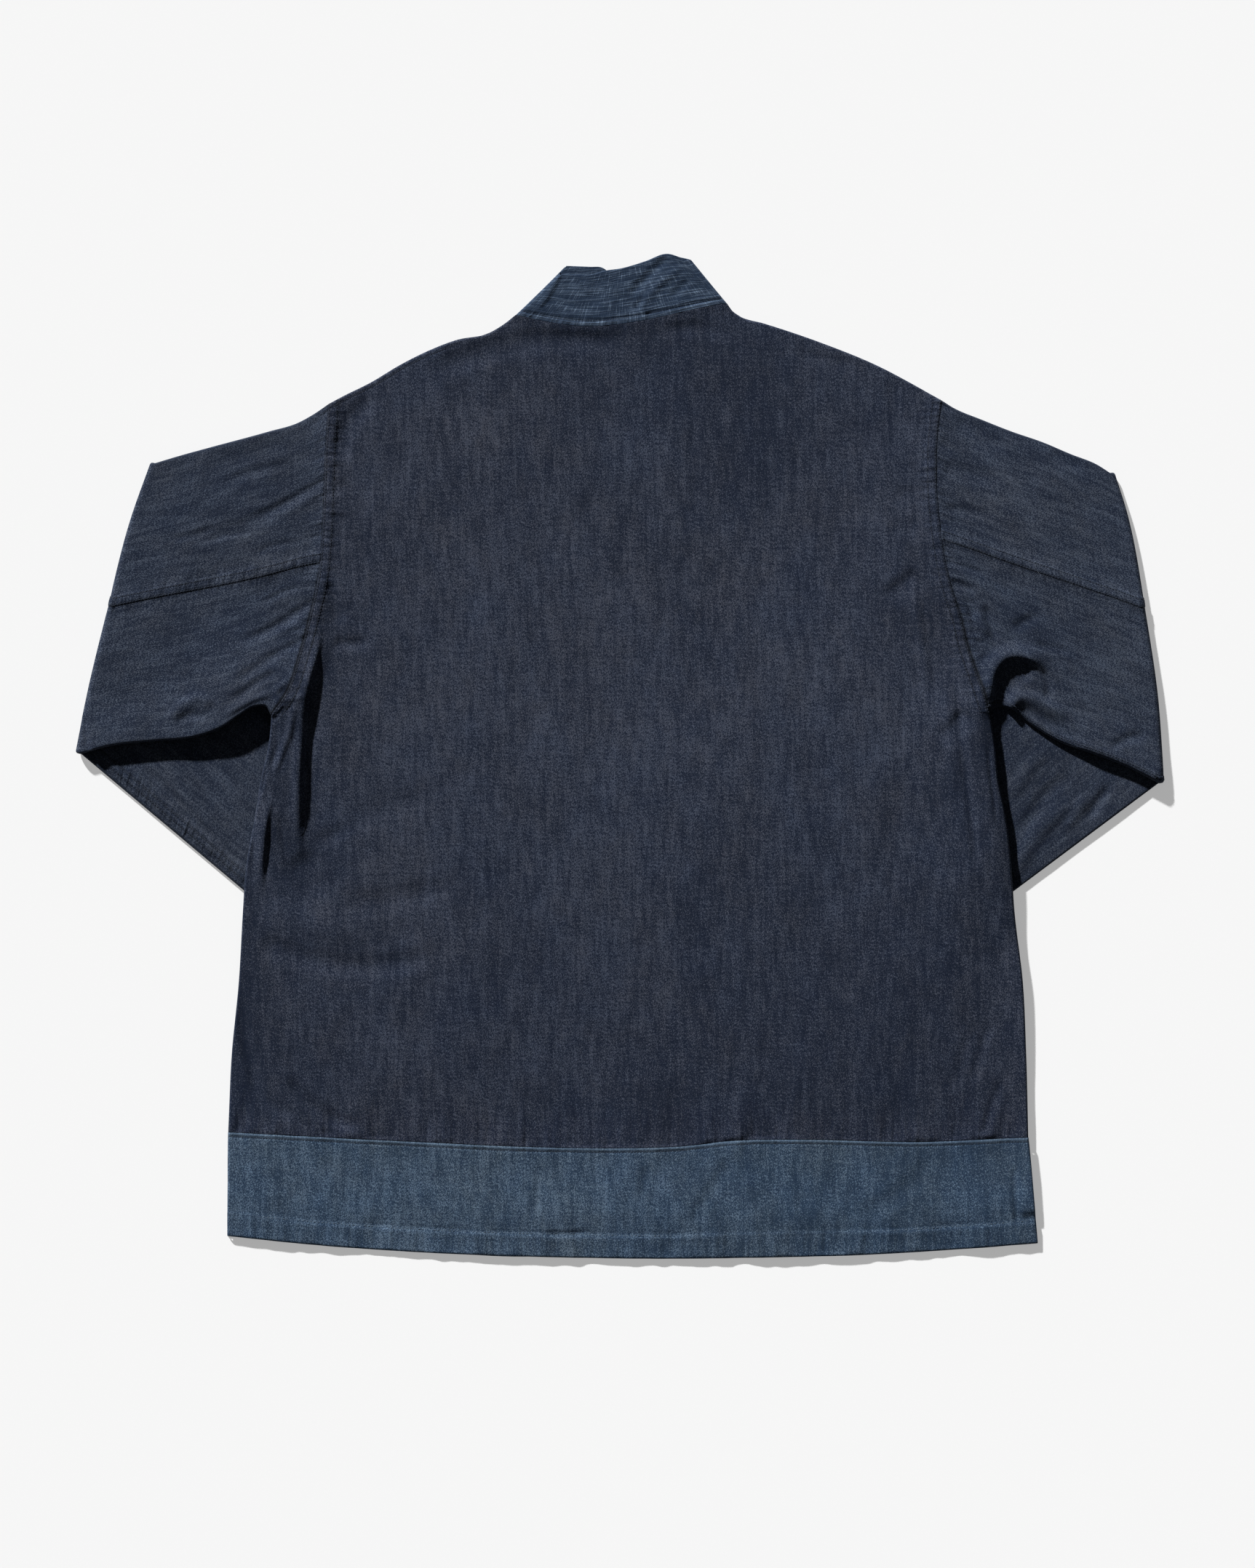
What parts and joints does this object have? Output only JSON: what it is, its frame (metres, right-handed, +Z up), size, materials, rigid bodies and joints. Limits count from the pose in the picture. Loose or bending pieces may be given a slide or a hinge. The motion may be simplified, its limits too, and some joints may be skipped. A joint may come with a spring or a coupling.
{
  "type": "chinese jacket",
  "caption": "Short jacket with a stand collar and a stitched hem band, laid flat with its back up and its sleeves folded under.",
  "frame": {"origin": "middle of the outline, on the surface that the jacket lies on", "axes": "+Z up, away from the surface; +Y from the hem to the collar; +X towards the wearer's right sleeve"},
  "size_m": [0.8954, 0.8282, 0.0263],
  "materials": {
    "denim": "dark navy twill",
    "sleeve_denim": "dark navy twill, a little greyer",
    "slub_indigo": "indigo plain weave with pale slubs",
    "chambray": "mid blue chambray"
  },
  "bodies": {
    "root": {"back": "denim", "front_left": "denim", "front_right": "denim", "sleeve_left_upper": "sleeve_denim", "sleeve_left_under": "sleeve_denim", "sleeve_right_upper": "sleeve_denim", "sleeve_right_under": "sleeve_denim", "collar": "slub_indigo", "hem_band_back": "chambray", "hem_band_front_left": "chambray", "hem_band_front_right": "chambray"}
  },
  "joints": []
}
